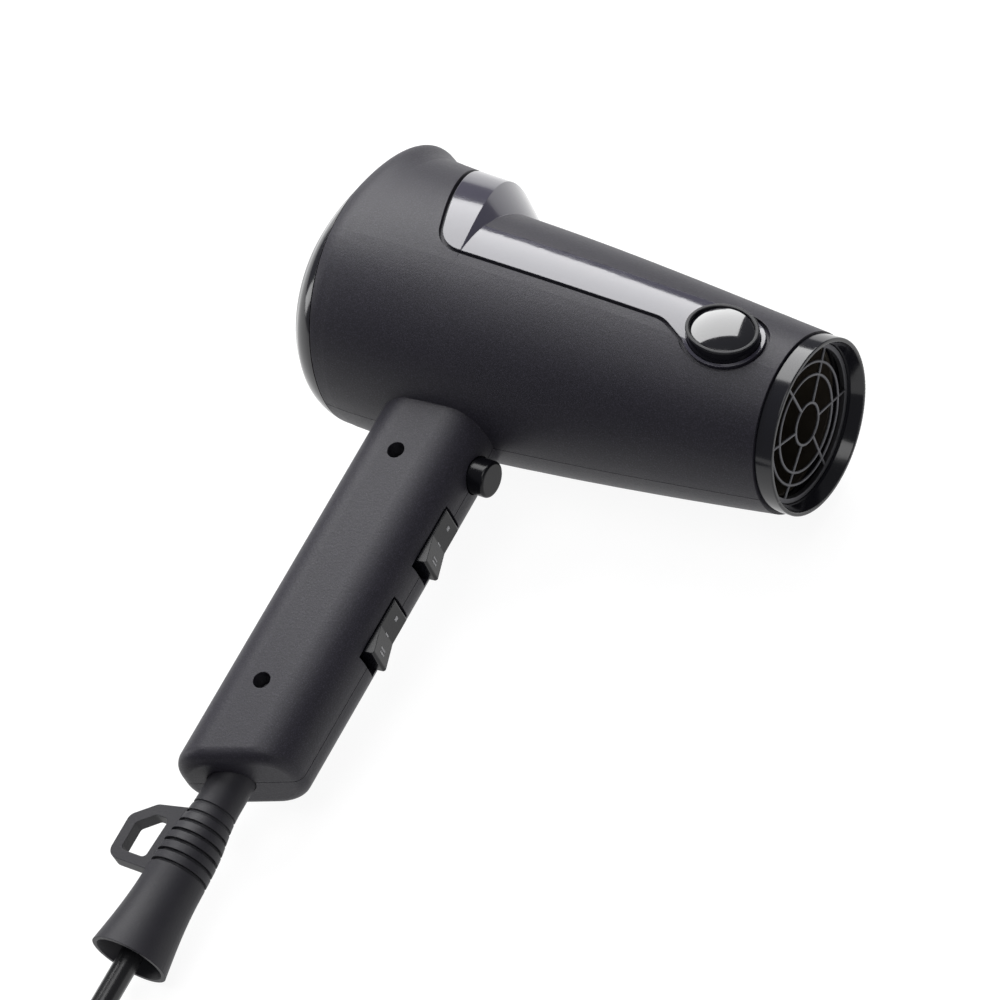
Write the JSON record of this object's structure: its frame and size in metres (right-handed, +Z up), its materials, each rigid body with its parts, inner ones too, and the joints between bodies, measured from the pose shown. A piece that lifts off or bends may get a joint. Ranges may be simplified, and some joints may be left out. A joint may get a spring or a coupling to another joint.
{
  "type": "hair dryer",
  "caption": "Hand-held hair dryer with a tapered barrel, straight handle, two rocker switches, cool-shot button, fan, heater and a mains lead with plug.",
  "frame": {"origin": "bottom centre of the dryer's own box, without its free cord, as it lies on its left side", "axes": "+X along the barrel towards the outlet, leaning down 2.7 degrees, +Y from the handle towards the barrel's top, +Z up, towards the right-hand side of the dryer"},
  "size_m": [0.2006, 0.4347, 0.0784],
  "materials": {
    "housing_matte": "fine satin grain",
    "trim_gloss": "polished",
    "cap_gloss": "polished",
    "ring_gloss": "polished",
    "grille_wire": "satin",
    "rear_plastic": "satin",
    "filter_steel": "fine mesh",
    "inner_plastic": "plain",
    "motor_steel": "plated",
    "fan_plastic": "plain",
    "mica": "plain",
    "heater_wire": "plain",
    "button_gloss": "polished",
    "rocker_black": "satin",
    "contact_brass": "plain",
    "circuit_board": "plain",
    "lead_sheath": "plain",
    "screw_steel": "black zinc",
    "sleeve_rubber": "satin",
    "cord_sheath": "glossy PVC",
    "plug_plastic": "satin",
    "plug_pin": "nickel plate"
  },
  "bodies": {
    "dryer": {"right_housing": "housing_matte", "left_housing": "housing_matte", "gloss_trim": "trim_gloss", "right_cap_bezel": "cap_gloss", "left_cap_bezel": "cap_gloss", "right_cap": "cap_gloss", "left_cap": "cap_gloss", "outlet_ring": "ring_gloss", "outlet_grille": "grille_wire", "rear_ring": "ring_gloss", "fan_shroud": "inner_plastic", "motor": "motor_steel", "air_tube": "mica", "heater_boards": "mica", "heater_coils": "heater_wire", "thermostat": "motor_steel", "thermal_fuse": "motor_steel", "button_spring": "heater_wire", "cool_switch": "inner_plastic", "upper_switch": "inner_plastic", "lower_switch": "inner_plastic", "contact_pins": "contact_brass", "control_board": "circuit_board", "inner_leads": "lead_sheath", "handle_screws": "screw_steel", "cord_clamp": "inner_plastic", "clamp_screws": "screw_steel", "strain_relief": "sleeve_rubber", "cord_end": "cord_sheath", "mains_cord": "cord_sheath", "cord_coil": "cord_sheath", "plug_cord": "cord_sheath", "plug_body": "plug_plastic", "plug_pins": "plug_pin"},
    "rotor": {"motor_shaft": "motor_steel", "impeller": "fan_plastic"},
    "cool_shot": {"cool_button": "button_gloss"},
    "upper_key": {"upper_rocker": "rocker_black"},
    "lower_key": {"lower_rocker": "rocker_black"},
    "inlet_cover": {"rear_cover": "rear_plastic", "filter_mesh": "filter_steel"}
  },
  "joints": [
    {"name": "fan_spin", "type": "hinge", "parent": "dryer", "child": "rotor", "pos_m": [-0.05056, 0.08456, 0.03924], "axis": [0.9988, 0, -0.048], "continuous": true},
    {"name": "cool_shot_press", "type": "slide", "parent": "dryer", "child": "cool_shot", "axis": [-0.9988, 0, 0.048], "range_m": [0, 0.002], "stiffness_N_per_m": 500, "deforming": ["button_spring"]},
    {"name": "upper_key_rock", "type": "hinge", "parent": "dryer", "child": "upper_key", "pos_m": [-0.0174, 0.01354, 0.02936], "axis": [-0.0477, 0.1158, -0.9921], "range_deg": [0, 16]},
    {"name": "lower_key_rock", "type": "hinge", "parent": "dryer", "child": "lower_key", "pos_m": [-0.01758, -0.01824, 0.02566], "axis": [-0.0477, 0.1158, -0.9921], "range_deg": [0, 16]},
    {"name": "inlet_cover_off", "type": "slide", "parent": "dryer", "child": "inlet_cover", "axis": [-0.9988, 0, 0.048], "range_m": [0, 0.015]}
  ]
}
